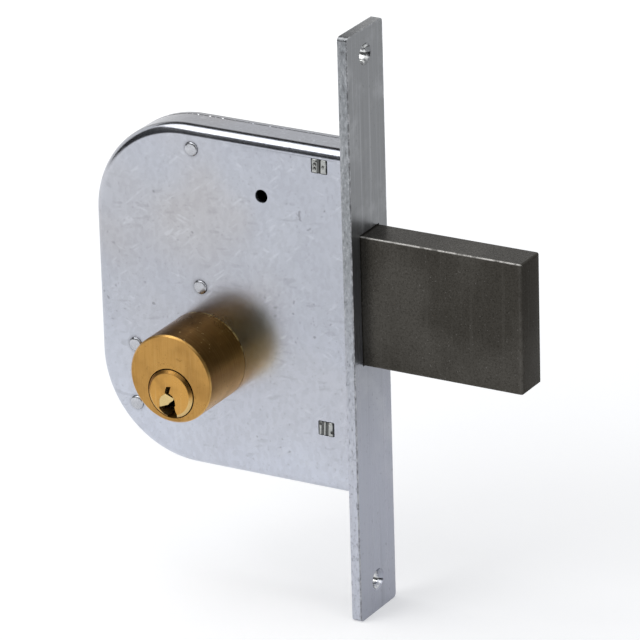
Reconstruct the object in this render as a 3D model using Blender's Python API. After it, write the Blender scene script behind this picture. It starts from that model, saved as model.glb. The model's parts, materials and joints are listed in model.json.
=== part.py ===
"""Mortise deadlock with a round pin-tumbler cylinder and a geared bolt.

Metres. The origin is on the faceplate's outer face, half way across it, level with the cylinder's axis.
+X is the bolt's throw, -Y the cylinder's side of the door, +Z up.
"""
import math

import bmesh
import bpy
from mathutils import Matrix, Vector

MM = 0.001

# Faceplate: outer face on x = 0, its length along z.
FACE_WIDTH = 20.0 * MM
FACE_THICK = 3.0 * MM
FACE_TOP = 102.5 * MM
FACE_BOTTOM = -71.0 * MM
FACE_END_ROUND = 1.2 * MM
SCREW_BORE_R = 2.1 * MM
SCREW_HEAD_R = 3.2 * MM
SCREW_TOP_INSET = 7.6 * MM
SCREW_BOTTOM_INSET = 9.4 * MM

# Case: two folded trays.
CASE_DEPTH = 14.0 * MM
CASE_BACK_X = -84.0 * MM
CASE_TOP = 67.4 * MM
CASE_BOTTOM = -33.3 * MM
CASE_CORNER_R = 30.0 * MM
BEND_R = 2.4 * MM
SHEET = 1.2 * MM
BACK_TRAY_DEPTH = 4.1 * MM
CASE_HOLE = (-30.0 * MM, 51.1 * MM)
CASE_HOLE_R = 1.9 * MM

# Bolt, as thrown.
BOLT_OUT = 50.0 * MM
BOLT_SIDE_PLAY = 0.6 * MM
BOLT_BOTTOM = 5.4 * MM
BOLT_TOP = 43.6 * MM
BOLT_EDGE = 0.8 * MM
BOLT_SHOULDER_X = -20.0 * MM
TAIL_END_X = -34.0 * MM
TAIL_THICK = 4.6 * MM
TAIL_TOP_DROP = 7.0 * MM
THROW = 48.0 * MM

# Cylinder, plug and pins.
BACKSET = 50.0 * MM
CYL_R = 13.0 * MM
CYL_PROJECT = 19.0 * MM
PLUG_DROP = 4.3 * MM
PLUG_R = 7.1 * MM
PLUG_PROUD = 0.9 * MM
PLUG_CHAMFER = 0.75 * MM
SPIGOT_WALL = 1.4 * MM
SPIGOT_IN = 1.0 * MM
SPIGOT_ROOT = 0.5 * MM
TANG_R = 1.9 * MM
PIN_R = 1.1 * MM
PIN_COUNT = 5
FIRST_PIN_BACK = 3.6 * MM
LAST_PIN_AHEAD = 3.2 * MM
CHAMBER_ROOF = 1.2 * MM
DRIVER_LONG = 3.4 * MM
PIN_FLOOR_SHARE = 0.27
KEY_PIN_SHARES = (0.83, 0.73, 0.79, 0.69, 0.76)

# Screws that hold the cylinder, their seats at a share of its radius.
SCREW_HEAD = 2.0 * MM
SCREW_RISE = 2.9 * MM
SCREW_REACH = 0.82
SCREW_SHANK_R = 1.1 * MM
SCREW_DEEP = 6.0 * MM

# The keyway's outline about the plug's axis, and the slanted lead-in beside it, in shares of the plug's radius.
KEYWAY = [(-0.127, 0.310), (0.073, 0.342), (0.020, 0.182), (-0.020, 0.045), (0.113, -0.032), (0.203, -0.146),
          (0.246, -0.313), (0.252, -0.427), (0.213, -0.490), (0.252, -0.685), (0.310, -0.789), (0.310, -0.845),
          (0.211, -1.070), (-0.137, -1.070), (-0.186, -0.915), (-0.366, -0.789), (-0.493, -0.666),
          (-0.493, -0.606), (-0.137, -0.492), (-0.086, -0.411), (0.063, -0.300), (0.086, -0.224),
          (-0.225, -0.046), (-0.211, 0.028), (-0.178, 0.193)]
LEAD_IN = [(-0.205, -0.012), (0.145, -0.205), (0.118, -0.345), (-0.046, -0.468), (-0.110, -0.560),
           (-0.470, -0.650), (-0.484, -0.437), (-0.470, -0.276), (-0.375, -0.131)]
LEAD_IN_DEEP = 1.3 * MM

# Pinion, idler and rack.
PLUG_TURNS = 2
PINION_TEETH = 8
IDLER_TEETH = 32
GEAR_THICK = 4.0 * MM
PRESSURE = math.radians(25.0)
TOOTH_SHARE = 0.41
ADD_SHARE = 0.75
DED_SHARE = 1.05
STUD_R = 2.5 * MM

# Posts, tenons and brackets.
POST_R = 3.0 * MM
GUIDE_POST_R = 2.0 * MM
STAKE_R = 1.95 * MM
STAKE_PROUD = 0.4 * MM
COLLAR_CLEAR = 0.15 * MM
SPRING_POST_X = -52.0 * MM
SPRING_POST_BELOW_TOP = 5.8 * MM
GUIDE_POST_X = -50.6 * MM
GUIDE_POST_Z = 20.7 * MM
UPPER_BACK_POST_INSET = 11.4 * MM
UPPER_BACK_POST_Z = -0.4 * MM
LOWER_BACK_POST_INSET = 5.9 * MM
LOWER_BACK_POST_ANGLE = math.radians(218.4)
TENON_X = -11.4 * MM
TENON_BELOW_TOP = 4.5 * MM
TENON_BELOW_BOLT = 20.5 * MM
TENON_WIDE = 4.5 * MM
TENON_HIGH = 3.7 * MM
TENON_GAP = 0.25 * MM
CHISEL_WIDE = 0.9 * MM
CHISEL_DEEP = 0.6 * MM
BRACKET_REACH = 11.2 * MM
BRACKET_HEEL = 2.6 * MM

# Brake leaf on the spring post.
LEAF_THICK = 0.5 * MM
LEAF_WIDE = 5.0 * MM
LEAF_KNEE = 9.0 * MM
LEAF_DROP = 1.5 * MM
LEAF_ELBOW = 4.0 * MM
LEAF_TOE = 1.6 * MM
LEAF_TOE_RISE = 0.9 * MM

# Clearances between pieces.
GAP = 0.3 * MM
FIT = 0.1 * MM
RUN = 0.05 * MM

# Sizes that follow from the ones above.
half_case = CASE_DEPTH / 2
front_y = -half_case
back_y = half_case
inner_front_y = front_y + SHEET
inner_back_y = back_y - SHEET
seam_y = back_y - BACK_TRAY_DEPTH
bolt_thick = CASE_DEPTH - 2 * (SHEET + BOLT_SIDE_PLAY)
case_open_x = -FACE_THICK - GAP
cyl_x = -BACKSET
cyl_front_y = front_y - CYL_PROJECT
plug_z = -PLUG_DROP
bore_r = PLUG_R + GAP
spigot_r = bore_r + SPIGOT_WALL
spigot_end_y = inner_front_y + SPIGOT_IN
plug_front_y = cyl_front_y - PLUG_PROUD
chamber_top = CYL_R - CHAMBER_ROOF
pin_floor_z = plug_z - PIN_FLOOR_SHARE * PLUG_R

spring_post = (SPRING_POST_X, CASE_TOP - SPRING_POST_BELOW_TOP)
guide_post = (GUIDE_POST_X, GUIDE_POST_Z)
upper_back_post = (CASE_BACK_X + UPPER_BACK_POST_INSET, UPPER_BACK_POST_Z)
lower_reach = CASE_CORNER_R - LOWER_BACK_POST_INSET
lower_back_post = (CASE_BACK_X + CASE_CORNER_R + lower_reach * math.cos(LOWER_BACK_POST_ANGLE),
                   CASE_BOTTOM + CASE_CORNER_R + lower_reach * math.sin(LOWER_BACK_POST_ANGLE))
tenon_upper_z = CASE_TOP - TENON_BELOW_TOP
tenon_lower_z = BOLT_BOTTOM - TENON_BELOW_BOLT

pitch = THROW / (PLUG_TURNS * PINION_TEETH)
module = pitch / math.pi
addendum = ADD_SHARE * module
dedendum = DED_SHARE * module
pinion_r = PINION_TEETH * pitch / (2 * math.pi)
idler_r = IDLER_TEETH * pitch / (2 * math.pi)
rack_z = BOLT_BOTTOM + module
idler_z = rack_z - idler_r
idler_x = cyl_x + math.sqrt((pinion_r + idler_r) ** 2 - (plug_z - idler_z) ** 2)
gear_y0 = -GEAR_THICK / 2
gear_y1 = GEAR_THICK / 2
tang_end_y = gear_y1 + GAP


def clear_scene():
    for thing in list(bpy.data.objects):
        bpy.data.objects.remove(thing, do_unlink=True)
    for mesh in list(bpy.data.meshes):
        bpy.data.meshes.remove(mesh)


def finish(name, rgb, roughness, metallic):
    made = bpy.data.materials.new(name)
    made.use_nodes = True
    shader = next(n for n in made.node_tree.nodes if n.type == "BSDF_PRINCIPLED")
    shader.inputs["Base Color"].default_value = (*rgb, 1.0)
    shader.inputs["Roughness"].default_value = roughness
    shader.inputs["Metallic"].default_value = metallic
    made.diffuse_color = (*rgb, 1.0)
    return made


def solid(name, bm, material, pivot=(0.0, 0.0, 0.0), smooth=True):
    """Turns a bmesh drawn in the row's frame into an object whose origin is at pivot."""
    bmesh.ops.remove_doubles(bm, verts=bm.verts, dist=1e-7)
    bmesh.ops.recalc_face_normals(bm, faces=bm.faces)
    pivot = Vector(pivot)
    bmesh.ops.translate(bm, vec=-pivot, verts=bm.verts)
    mesh = bpy.data.meshes.new(name)
    bm.to_mesh(mesh)
    bm.free()
    if material:
        mesh.materials.append(material)
    if smooth:
        for face in mesh.polygons:
            face.use_smooth = True
        mesh.set_sharp_from_angle(angle=math.radians(28))
    thing = bpy.data.objects.new(name, mesh)
    thing.location = pivot
    bpy.context.scene.collection.objects.link(thing)
    return thing


def combine(target, operation, cutter):
    cutter.hide_render = True
    cutter.display_type = "WIRE"
    step = target.modifiers.new(cutter.name, "BOOLEAN")
    step.operation = operation
    step.object = cutter
    step.solver = "EXACT"


def add_prism(bm, outline, low, high, along="y"):
    """Extrudes a closed outline: (x, z) pairs along y, (x, y) pairs along z."""
    if along == "y":
        verts = [bm.verts.new((a, low, b)) for a, b in outline]
        push = Vector((0, high - low, 0))
    else:
        verts = [bm.verts.new((a, b, low)) for a, b in outline]
        push = Vector((0, 0, high - low))
    face = bm.faces.new(verts)
    grown = bmesh.ops.extrude_face_region(bm, geom=[face])
    bmesh.ops.translate(bm, vec=push, verts=[g for g in grown["geom"] if isinstance(g, bmesh.types.BMVert)])
    return bm


def add_box(bm, low, high):
    return add_prism(bm, [(low[0], low[2]), (high[0], low[2]), (high[0], high[2]), (low[0], high[2])],
                     low[1], high[1])


def merge_flat_ends(bm):
    """Leaves one face where a profile's flat end meets its axis."""
    bm.normal_update()
    tips = [v for v in bm.verts if len(v.link_faces) > 4
            and all(f.normal.cross(v.link_faces[0].normal).length < 1e-5 for f in v.link_faces)]
    bmesh.ops.dissolve_verts(bm, verts=tips)


def add_turned(bm, profile, x, z, steps=32, turn=0.0):
    """Spins a closed (radius, y) profile about the y line through x, z."""
    verts = []
    for radius, y in profile:
        spot = Vector((x + radius * math.cos(turn), y, z + radius * math.sin(turn)))
        verts.append(bm.verts.new(spot))
    edges = [bm.edges.new((verts[i], verts[(i + 1) % len(verts)])) for i in range(len(verts))
             if not (profile[i][0] < 1e-9 and profile[(i + 1) % len(verts)][0] < 1e-9)]
    bmesh.ops.spin(bm, geom=verts + edges, cent=(x, 0, z), axis=(0, 1, 0), angle=2 * math.pi, steps=steps,
                   use_merge=False)
    bmesh.ops.remove_doubles(bm, verts=bm.verts, dist=1e-6)
    merge_flat_ends(bm)
    return bm


def add_upright(bm, profile, x, y, steps=16):
    """Spins a closed (radius, z) profile about the z line through x, y, a flat of it facing +y."""
    turn = math.pi / steps
    verts = [bm.verts.new((x + radius * math.cos(turn), y + radius * math.sin(turn), z)) for radius, z in profile]
    edges = [bm.edges.new((verts[i], verts[(i + 1) % len(verts)])) for i in range(len(verts))
             if not (profile[i][0] < 1e-9 and profile[(i + 1) % len(verts)][0] < 1e-9)]
    bmesh.ops.spin(bm, geom=verts + edges, cent=(x, y, 0), axis=(0, 0, 1), angle=2 * math.pi, steps=steps,
                   use_merge=False)
    bmesh.ops.remove_doubles(bm, verts=bm.verts, dist=1e-6)
    merge_flat_ends(bm)
    return bm


def circle(x, z, radius, steps=24, start=0.0):
    return [(x + radius * math.cos(start + 2 * math.pi * k / steps),
             z + radius * math.sin(start + 2 * math.pi * k / steps)) for k in range(steps)]


def cutter(name, build):
    bm = bmesh.new()
    build(bm)
    return solid(name, bm, None, smooth=False)


def involute(angle):
    return math.tan(angle) - angle


def gear_outline(x, z, teeth, first):
    """Stub involute teeth with play; first is the angle of one tooth's middle, from +X towards +Z."""
    radius = teeth * pitch / (2 * math.pi)
    base = radius * math.cos(PRESSURE)
    root = radius - dedendum
    tip = radius + addendum
    half = TOOTH_SHARE * pitch / (2 * radius)

    def flank(at):
        at_base = max(at, base)
        return half + involute(PRESSURE) - involute(math.acos(base / at_base))

    levels = [root] + ([base] if root < base - 0.05 * MM else []) + [radius, tip]
    points = []
    for tooth in range(teeth):
        middle = first + 2 * math.pi * tooth / teeth
        points += [(x + r * math.cos(middle - flank(r)), z + r * math.sin(middle - flank(r))) for r in levels]
        points += [(x + r * math.cos(middle + flank(r)), z + r * math.sin(middle + flank(r)))
                   for r in reversed(levels)]
    return points


def make_faceplate(steel):
    half = FACE_WIDTH / 2
    bm = bmesh.new()
    r = FACE_END_ROUND
    outline = []
    for cy, cz, start in ((half - r, FACE_TOP - r, 0.0), (-half + r, FACE_TOP - r, 90.0),
                          (-half + r, FACE_BOTTOM + r, 180.0), (half - r, FACE_BOTTOM + r, 270.0)):
        for k in range(5):
            a = math.radians(start + 22.5 * k)
            outline.append((cy + r * math.cos(a), cz + r * math.sin(a)))
    verts = [bm.verts.new((-FACE_THICK, y, z)) for y, z in outline]
    face = bm.faces.new(verts)
    grown = bmesh.ops.extrude_face_region(bm, geom=[face])
    bmesh.ops.translate(bm, vec=(FACE_THICK, 0, 0),
                        verts=[g for g in grown["geom"] if isinstance(g, bmesh.types.BMVert)])
    plate = solid("faceplate", bm, steel)

    def window(cut):
        side = bolt_thick / 2 + GAP
        add_box(cut, (-FACE_THICK - 1 * MM, -side, BOLT_BOTTOM - GAP), (1 * MM, side, BOLT_TOP + GAP))
        deep = SCREW_HEAD_R - SCREW_BORE_R
        for z in (FACE_TOP - SCREW_TOP_INSET, FACE_BOTTOM + SCREW_BOTTOM_INSET):
            hole = bmesh.new()
            steps = 28
            profile = [(0.0, -FACE_THICK - 1 * MM), (SCREW_BORE_R, -FACE_THICK - 1 * MM),
                       (SCREW_BORE_R, -deep), (SCREW_HEAD_R, 0.0), (SCREW_HEAD_R, 1 * MM), (0.0, 1 * MM)]
            line = [hole.verts.new((x, radius, z)) for radius, x in profile]
            rim = [hole.edges.new((line[i], line[i + 1])) for i in range(len(line) - 1)]
            bmesh.ops.spin(hole, geom=line + rim, cent=(0, 0, z), axis=(1, 0, 0), angle=2 * math.pi,
                           steps=steps, use_merge=False)
            bmesh.ops.remove_doubles(hole, verts=hole.verts, dist=1e-6)
            part = bpy.data.meshes.new("hole")
            hole.to_mesh(part)
            hole.free()
            cut.from_mesh(part)
            bpy.data.meshes.remove(part)

    combine(plate, "DIFFERENCE", cutter("faceplate_cut", window))
    return plate


def case_ring(inset, y, arc_steps=14):
    """One loop of the case's outline, drawn in by inset; it runs past the open end on the faceplate's side."""
    r = CASE_CORNER_R - inset
    left = CASE_BACK_X + CASE_CORNER_R
    points = [(10 * MM, y, CASE_TOP - inset)]
    for k in range(arc_steps + 1):
        a = math.radians(90 + 90 * k / arc_steps)
        points.append((left + r * math.cos(a), y, CASE_TOP - CASE_CORNER_R + r * math.sin(a)))
    for k in range(arc_steps + 1):
        a = math.radians(180 + 90 * k / arc_steps)
        points.append((left + r * math.cos(a), y, CASE_BOTTOM + CASE_CORNER_R + r * math.sin(a)))
    points.append((10 * MM, y, CASE_BOTTOM + inset))
    return points


def make_tray(name, material, edge_y, face_y):
    """A folded sheet tray: its wall stands from edge_y to the bend, its flat face lies at face_y."""
    way = 1.0 if face_y > edge_y else -1.0
    levels = [(0.0, edge_y)]
    for k in range(4):
        a = math.radians(90 * k / 3)
        levels.append((BEND_R * (1 - math.cos(a)), face_y - way * BEND_R * (1 - math.sin(a))))
    inner = max(BEND_R - SHEET, 0.2 * MM)
    inside = []
    for k in range(3):
        a = math.radians(90 - 45 * k)
        inside.append((SHEET + inner * (1 - math.cos(a)), face_y - way * (SHEET + inner * (1 - math.sin(a)))))
    inside.append((SHEET, edge_y))
    bm = bmesh.new()
    rings = []
    for inset, y in levels + inside:
        rings.append([bm.verts.new(p) for p in case_ring(inset, y)])
    n = len(rings[0])
    for a, b in zip(rings, rings[1:] + rings[:1]):
        if a is rings[len(levels) - 1]:
            continue
        for k in range(n):
            bm.faces.new((a[k], a[(k + 1) % n], b[(k + 1) % n], b[k]))
    bm.faces.new(rings[len(levels) - 1])
    bm.faces.new(rings[len(levels)])
    return solid(name, bm, material)


def make_case(zinc):
    front = make_tray("case_front", zinc, seam_y - FIT / 2, front_y)
    back = make_tray("case_back", zinc, seam_y + FIT / 2, back_y)
    stakes = (spring_post, guide_post, upper_back_post, lower_back_post)

    def shared(cut, y0, y1):
        add_box(cut, (case_open_x, -20 * MM, CASE_BOTTOM - 5 * MM), (20 * MM, 20 * MM, CASE_TOP + 5 * MM))
        for x, z in stakes:
            add_prism(cut, circle(x, z, STAKE_R + FIT), y0, y1)
        add_prism(cut, circle(*CASE_HOLE, CASE_HOLE_R), y0, y1)
        for z in (tenon_upper_z, tenon_lower_z):
            wide, high = TENON_WIDE / 2 + TENON_GAP, TENON_HIGH / 2 + TENON_GAP
            add_box(cut, (TENON_X - wide, y0, z - high), (TENON_X + wide, y1, z + high))

    def front_cut(cut):
        y0, y1 = front_y - 1 * MM, inner_front_y + 1 * MM
        shared(cut, y0, y1)
        add_prism(cut, circle(cyl_x, plug_z, spigot_r + GAP, 40), y0, y1)
        for x, z in screw_spots():
            add_prism(cut, circle(x, z, SCREW_SHANK_R + GAP, 16), y0, y1)

    def back_cut(cut):
        y0, y1 = inner_back_y - 1 * MM, back_y + 1 * MM
        shared(cut, y0, y1)
        add_prism(cut, circle(idler_x, idler_z, STAKE_R + FIT), y0, y1)

    combine(front, "DIFFERENCE", cutter("case_front_cut", front_cut))
    combine(back, "DIFFERENCE", cutter("case_back_cut", back_cut))


def make_post(name, spot, radius, steel):
    reach = half_case + STAKE_PROUD
    collar_out = half_case - SHEET - FIT
    collar_in = bolt_thick / 2 + COLLAR_CLEAR
    bevel = 0.3 * MM
    wide = max(radius, POST_R)
    profile = [(0.0, -reach), (STAKE_R - bevel, -reach), (STAKE_R, -reach + bevel), (STAKE_R, -collar_out),
               (wide, -collar_out)]
    if radius < wide:
        profile += [(wide, -collar_in), (radius, -collar_in), (radius, collar_in), (wide, collar_in)]
    profile += [(wide, collar_out), (STAKE_R, collar_out), (STAKE_R, reach - bevel), (STAKE_R - bevel, reach),
                (0.0, reach)]
    bm = add_turned(bmesh.new(), profile, *spot, steps=24)
    return solid(name, bm, steel)


def make_bracket(name, z_low, z_high, tenon_z, steel):
    x1 = case_open_x
    x0 = x1 - BRACKET_REACH
    deep = half_case - SHEET - FIT
    bm = add_box(bmesh.new(), (x0, -deep, z_low), (x1, deep, z_high))
    block = solid(name, bm, steel, smooth=False)
    reach = half_case + STAKE_PROUD

    def tenon(cut):
        add_box(cut, (TENON_X - TENON_WIDE / 2, -reach, tenon_z - TENON_HIGH / 2),
                (TENON_X + TENON_WIDE / 2, reach, tenon_z + TENON_HIGH / 2))

    def chisel(cut):
        for side in (-1, 1):
            face = side * reach
            half = CHISEL_WIDE / 2
            add_prism(cut, [(TENON_X - half, face + side * FIT), (TENON_X + half, face + side * FIT),
                            (TENON_X, face - side * CHISEL_DEEP)],
                      tenon_z - TENON_HIGH, tenon_z + TENON_HIGH, along="z")

    combine(block, "UNION", cutter(name + "_tenon", tenon))
    combine(block, "DIFFERENCE", cutter(name + "_chisel", chisel))
    return block


def make_bolt(dark):
    head, tail = bolt_thick / 2, TAIL_THICK / 2
    e = BOLT_EDGE
    outline = [(TAIL_END_X, -tail), (BOLT_SHOULDER_X, -tail), (BOLT_SHOULDER_X, -head), (BOLT_OUT - e, -head),
               (BOLT_OUT - 0.3 * e, -head + 0.3 * e), (BOLT_OUT, -head + e), (BOLT_OUT, head - e),
               (BOLT_OUT - 0.3 * e, head - 0.3 * e), (BOLT_OUT - e, head), (BOLT_SHOULDER_X, head),
               (BOLT_SHOULDER_X, tail), (TAIL_END_X, tail)]
    bolt = solid("bolt", add_prism(bmesh.new(), outline, BOLT_BOTTOM, BOLT_TOP, along="z"), dark)

    def slot(cut):
        x, z = guide_post
        r = GUIDE_POST_R + GAP
        end = x + THROW
        half = [(end + r * math.cos(math.radians(a)), z + r * math.sin(math.radians(a)))
                for a in range(-90, 91, 15)]
        add_prism(cut, [(TAIL_END_X - 2 * MM, z + r), (TAIL_END_X - 2 * MM, z - r)] + half, -10 * MM, 10 * MM)
        add_box(cut, (TAIL_END_X - 2 * MM, -tail - 1 * MM, BOLT_TOP - TAIL_TOP_DROP),
                (BOLT_SHOULDER_X, tail + 1 * MM, BOLT_TOP + 1 * MM))
        play = (1 - 2 * TOOTH_SHARE) * pitch / 4
        lean = math.tan(PRESSURE)
        root, tip = rack_z + dedendum, rack_z - addendum
        mid = TOOTH_SHARE * pitch / 2
        low = BOLT_BOTTOM - 1 * MM
        reach = math.sqrt((idler_r + addendum) ** 2 - (BOLT_BOTTOM - idler_z) ** 2)
        last = idler_x + THROW + reach + GAP
        count = int((last - idler_x) / pitch) + 1
        start = idler_x - pitch / 2
        line = []
        for k in range(count + 1):
            centre = start + k * pitch
            top = [(centre - mid - dedendum * lean, root), (centre - mid, rack_z),
                   (centre - mid + addendum * lean, tip), (centre + mid - addendum * lean, tip),
                   (centre + mid, rack_z), (centre + mid + dedendum * lean, root)]
            if k == 0:
                line.append((TAIL_END_X - 2 * MM, root))
            line += top
        line.append((line[-1][0] + pitch / 4, root))
        shape = [(line[0][0], low)] + line + [(line[-1][0], low)]
        add_prism(cut, shape, -GEAR_THICK / 2 - 1.5 * GAP, GEAR_THICK / 2 + 1.5 * GAP)

    combine(bolt, "DIFFERENCE", cutter("bolt_cut", slot))
    return bolt


def screw_spots():
    away = spigot_r + GAP + SCREW_HEAD
    side = max(math.sqrt(away ** 2 - SCREW_RISE ** 2), SCREW_REACH * CYL_R)
    return [(cyl_x - side, plug_z + SCREW_RISE), (cyl_x + side, plug_z + SCREW_RISE)]


def pin_places():
    first, last = plug_front_y + FIRST_PIN_BACK, front_y - LAST_PIN_AHEAD
    return [first + (last - first) * k / (PIN_COUNT - 1) for k in range(PIN_COUNT)]


def make_cylinder(brass, steel):
    base_y = front_y - FIT
    edge = 0.5 * MM
    bm = add_turned(bmesh.new(), [(0.0, cyl_front_y), (CYL_R - edge, cyl_front_y), (CYL_R, cyl_front_y + edge),
                                  (CYL_R, base_y), (0.0, base_y)], cyl_x, 0.0, steps=64)
    body = solid("cylinder_body", bm, brass)

    def spigot(cut):
        add_turned(cut, [(0.0, base_y - SPIGOT_ROOT), (spigot_r, base_y - SPIGOT_ROOT), (spigot_r, spigot_end_y),
                         (0.0, spigot_end_y)], cyl_x, plug_z, steps=40)

    def bore(cut):
        add_turned(cut, [(0.0, cyl_front_y - 1 * MM), (bore_r, cyl_front_y - 1 * MM),
                         (bore_r, spigot_end_y + 1 * MM), (0.0, spigot_end_y + 1 * MM)], cyl_x, plug_z, steps=48)

    def chambers(cut):
        for y in pin_places():
            add_upright(cut, [(0.0, plug_z), (PIN_R + FIT, plug_z), (PIN_R + FIT, chamber_top), (0.0, chamber_top)],
                        cyl_x, y, steps=16)
        for x, z in screw_spots():
            add_prism(cut, circle(x, z, SCREW_SHANK_R + GAP, 16), base_y - SCREW_DEEP - GAP, base_y + 1 * MM)

    combine(body, "DIFFERENCE", cutter("cylinder_chambers", chambers))
    combine(body, "UNION", cutter("cylinder_spigot", spigot))
    combine(body, "DIFFERENCE", cutter("cylinder_bore", bore))

    head_y0 = inner_front_y + FIT
    for k, (x, z) in enumerate(screw_spots()):
        r = SCREW_HEAD
        profile = [(0.0, base_y - SCREW_DEEP), (SCREW_SHANK_R, base_y - SCREW_DEEP), (SCREW_SHANK_R, head_y0),
                   (r, head_y0), (r, head_y0 + 1.0 * MM), (r - 0.3 * MM, head_y0 + 1.3 * MM),
                   (0.0, head_y0 + 1.3 * MM)]
        name = "cylinder_screw_%d" % (k + 1)
        screw = solid(name, add_turned(bmesh.new(), profile, x, z, steps=16), steel)

        def slot(cut, x=x, z=z):
            add_box(cut, (x - 3 * MM, head_y0 + 0.7 * MM, z - 0.35 * MM),
                    (x + 3 * MM, head_y0 + 2 * MM, z + 0.35 * MM))

        combine(screw, "DIFFERENCE", cutter(name + "_slot", slot))
    return body


def make_plug(brass, steel):
    pivot = (cyl_x, 0.0, plug_z)
    rear_y = spigot_end_y
    edge = 0.25 * MM
    bm = add_turned(bmesh.new(), [(0.0, plug_front_y), (PLUG_R - PLUG_CHAMFER, plug_front_y),
                                  (PLUG_R, plug_front_y + PLUG_CHAMFER), (PLUG_R, rear_y), (TANG_R, rear_y),
                                  (TANG_R, tang_end_y - edge), (TANG_R - edge, tang_end_y), (0.0, tang_end_y)],
                    cyl_x, plug_z, steps=48)
    plug = solid("plug", bm, brass, pivot)

    def keyway(cut):
        back = pin_places()[-1] + PIN_R + 2 * GAP
        add_prism(cut, [(cyl_x + a * PLUG_R, plug_z + b * PLUG_R) for a, b in KEYWAY], plug_front_y - 1 * MM, back)

    def lead_in(cut):
        add_prism(cut, [(cyl_x + a * PLUG_R, plug_z + b * PLUG_R) for a, b in LEAD_IN], 0.0, 1 * MM)
        cut.verts.ensure_lookup_table()
        left = min(v.co.x for v in cut.verts)
        wide = max(v.co.x for v in cut.verts) - left
        for v in cut.verts:
            share = (v.co.x - left) / wide
            v.co.y = plug_front_y - 1 * MM if v.co.y < 0.5 * MM else plug_front_y + FIT + share * LEAD_IN_DEEP

    def chambers(cut):
        for y in pin_places():
            add_upright(cut, [(0.0, pin_floor_z), (PIN_R + FIT, pin_floor_z + PIN_R / 2),
                              (PIN_R + FIT, plug_z + PLUG_R + 1 * MM), (0.0, plug_z + PLUG_R + 1 * MM)],
                        cyl_x, y, steps=16)

    combine(plug, "DIFFERENCE", cutter("plug_keyway", keyway))
    combine(plug, "DIFFERENCE", cutter("plug_lead_in", lead_in))
    combine(plug, "DIFFERENCE", cutter("plug_chambers", chambers))

    ring_y0 = spigot_end_y + GAP
    ring = bmesh.new()
    inner, outer = TANG_R + FIT, spigot_r - FIT
    arc = [math.radians(20 + 320 * k / 28) for k in range(29)]
    add_prism(ring, [(cyl_x + outer * math.cos(a), plug_z + outer * math.sin(a)) for a in arc]
              + [(cyl_x + inner * math.cos(a), plug_z + inner * math.sin(a)) for a in reversed(arc)],
              ring_y0, ring_y0 + 0.8 * MM)
    solid("plug_ring", ring, steel, pivot, smooth=False)

    facing = math.atan2(plug_z - idler_z, cyl_x - idler_x)
    tooth = 2 * math.pi / IDLER_TEETH
    off = (facing - math.pi / 2) / tooth
    off = (off - round(off)) * tooth
    first = facing + math.pi + off * IDLER_TEETH / PINION_TEETH + math.pi / PINION_TEETH
    pinion = bmesh.new()
    add_prism(pinion, gear_outline(cyl_x, plug_z, PINION_TEETH, first), gear_y0, gear_y1)
    wheel = solid("plug_pinion", pinion, steel, pivot, smooth=False)

    def seat(cut):
        add_prism(cut, circle(cyl_x, plug_z, TANG_R + FIT, 24), gear_y0 - 1 * MM, gear_y1 + 1 * MM)

    combine(wheel, "DIFFERENCE", cutter("pinion_seat", seat))
    return plug


def make_pins(brass, steel, spring_steel):
    shear_low = plug_z + PLUG_R - RUN
    shear_high = plug_z + bore_r
    for k, y in enumerate(pin_places()):
        long = KEY_PIN_SHARES[k % len(KEY_PIN_SHARES)] * PLUG_R
        tip = shear_low - long
        bm = add_upright(bmesh.new(), [(0.0, tip), (0.35 * MM, tip), (PIN_R, tip + 1.0 * MM),
                                       (PIN_R, shear_low - 0.15 * MM), (PIN_R - 0.15 * MM, shear_low),
                                       (0.0, shear_low)], cyl_x, y)
        solid("key_pin_%d" % (k + 1), bm, brass, (cyl_x, y, shear_low))
        top = shear_high + DRIVER_LONG
        bm = add_upright(bmesh.new(), [(0.0, shear_high), (PIN_R - 0.15 * MM, shear_high),
                                       (PIN_R, shear_high + 0.15 * MM), (PIN_R, top), (0.0, top)], cyl_x, y)
        solid("driver_pin_%d" % (k + 1), bm, steel, (cyl_x, y, shear_high))
        wire = 0.14 * MM
        coil = PIN_R - 2 * wire
        low, high = top + wire + RUN, chamber_top - wire - RUN
        turns, steps = 4, 10
        bm = bmesh.new()
        ring = [bm.verts.new((cyl_x + coil + wire * math.cos(2 * math.pi * j / 5), y,
                              low + wire * math.sin(2 * math.pi * j / 5))) for j in range(5)]
        face = bm.faces.new(ring)
        grown = bmesh.ops.spin(bm, geom=[face], cent=(cyl_x, y, 0), axis=(0, 0, 1), dvec=(0, 0, (high - low)
                               / (turns * steps)), angle=2 * math.pi * turns, steps=turns * steps)
        del grown
        solid("pin_spring_%d" % (k + 1), bm, spring_steel, (cyl_x, y, chamber_top))


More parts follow.
